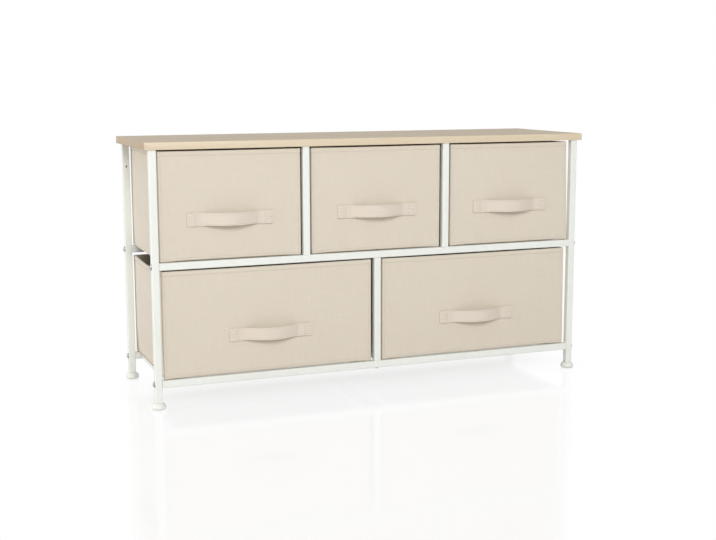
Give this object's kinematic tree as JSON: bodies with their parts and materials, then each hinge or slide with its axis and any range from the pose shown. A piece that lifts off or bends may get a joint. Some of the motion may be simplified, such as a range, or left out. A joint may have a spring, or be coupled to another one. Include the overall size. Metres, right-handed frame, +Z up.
{
  "type": "fabric drawer dresser",
  "caption": "Low wide dresser: white square-tube steel frame, light wood-effect top board and beige fabric drawers with sewn strap handles, on round screw-in feet.",
  "frame": {"origin": "bottom centre of the box round the whole dresser, on the floor", "axes": "+X to the right along the width, +Y to the back, +Z up; the drawers open towards -Y"},
  "size_m": [1, 0.3215, 0.545],
  "materials": {
    "frame_steel": "satin white powder coat",
    "board_wood": "matt light oak effect laminate",
    "board_edge": "matt light oak effect edge band",
    "drawer_fabric": "plain beige woven fabric",
    "strap_fabric": "beige fabric strap",
    "zinc_steel": "zinc plated",
    "plug_plastic": "moulded, matt",
    "foot_plastic": "moulded, off-white, matt",
    "wall_cardboard": "raw grey-brown board",
    "base_board": "raw hardboard"
  },
  "bodies": {
    "root": {"top_board": "board_wood", "board_edge_band": "board_edge", "board_inserts": "zinc_steel", "board_studs": "zinc_steel", "leg_front_left": "frame_steel", "leg_front_right": "frame_steel", "leg_rear_left": "frame_steel", "leg_rear_right": "frame_steel", "leg_top_plugs": "plug_plastic", "leg_foot_inserts": "plug_plastic", "leg_bolts": "zinc_steel", "leg_washers": "zinc_steel", "rail_lower_front": "frame_steel", "rail_lower_rear": "frame_steel", "rail_middle_front": "frame_steel", "rail_middle_rear": "frame_steel", "rail_end_plugs": "plug_plastic", "runners_lower": "frame_steel", "runners_middle": "frame_steel", "post_lower_front": "frame_steel", "post_lower_rear": "frame_steel", "post_upper_front_left": "frame_steel", "post_upper_front_right": "frame_steel", "post_upper_rear_left": "frame_steel", "post_upper_rear_right": "frame_steel", "post_plugs": "plug_plastic", "post_bolts": "zinc_steel"},
    "drawer_lower_left": {"cover_lower_left": "drawer_fabric", "wall_boards_lower_left": "wall_cardboard", "base_board_lower_left": "base_board", "strap_lower_left": "strap_fabric"},
    "drawer_lower_right": {"cover_lower_right": "drawer_fabric", "wall_boards_lower_right": "wall_cardboard", "base_board_lower_right": "base_board", "strap_lower_right": "strap_fabric"},
    "drawer_upper_left": {"cover_upper_left": "drawer_fabric", "wall_boards_upper_left": "wall_cardboard", "base_board_upper_left": "base_board", "strap_upper_left": "strap_fabric"},
    "drawer_upper_middle": {"cover_upper_middle": "drawer_fabric", "wall_boards_upper_middle": "wall_cardboard", "base_board_upper_middle": "base_board", "strap_upper_middle": "strap_fabric"},
    "drawer_upper_right": {"cover_upper_right": "drawer_fabric", "wall_boards_upper_right": "wall_cardboard", "base_board_upper_right": "base_board", "strap_upper_right": "strap_fabric"},
    "foot_front_left": {"foot_front_left": "foot_plastic", "stud_front_left": "zinc_steel"},
    "foot_front_right": {"foot_front_right": "foot_plastic", "stud_front_right": "zinc_steel"},
    "foot_rear_left": {"foot_rear_left": "foot_plastic", "stud_rear_left": "zinc_steel"},
    "foot_rear_right": {"foot_rear_right": "foot_plastic", "stud_rear_right": "zinc_steel"}
  },
  "joints": [
    {"name": "slide_lower_left", "type": "slide", "parent": "root", "child": "drawer_lower_left", "axis": [0, -1, 0], "range_m": [0, 0.24]},
    {"name": "slide_lower_right", "type": "slide", "parent": "root", "child": "drawer_lower_right", "axis": [0, -1, 0], "range_m": [0, 0.24]},
    {"name": "slide_upper_left", "type": "slide", "parent": "root", "child": "drawer_upper_left", "axis": [0, -1, 0], "range_m": [0, 0.24]},
    {"name": "slide_upper_middle", "type": "slide", "parent": "root", "child": "drawer_upper_middle", "axis": [0, -1, 0], "range_m": [0, 0.24]},
    {"name": "slide_upper_right", "type": "slide", "parent": "root", "child": "drawer_upper_right", "axis": [0, -1, 0], "range_m": [0, 0.24]},
    {"name": "turn_foot_front_left", "type": "hinge", "parent": "root", "child": "foot_front_left", "pos_m": [-0.4825, -0.13325, 0.014], "axis": [0, 0, -1], "range_deg": [0, 720]},
    {"name": "turn_foot_front_right", "type": "hinge", "parent": "root", "child": "foot_front_right", "pos_m": [0.4825, -0.13325, 0.014], "axis": [0, 0, -1], "range_deg": [0, 720]},
    {"name": "turn_foot_rear_left", "type": "hinge", "parent": "root", "child": "foot_rear_left", "pos_m": [-0.4825, 0.14575, 0.014], "axis": [0, 0, -1], "range_deg": [0, 720]},
    {"name": "turn_foot_rear_right", "type": "hinge", "parent": "root", "child": "foot_rear_right", "pos_m": [0.4825, 0.14575, 0.014], "axis": [0, 0, -1], "range_deg": [0, 720]}
  ]
}
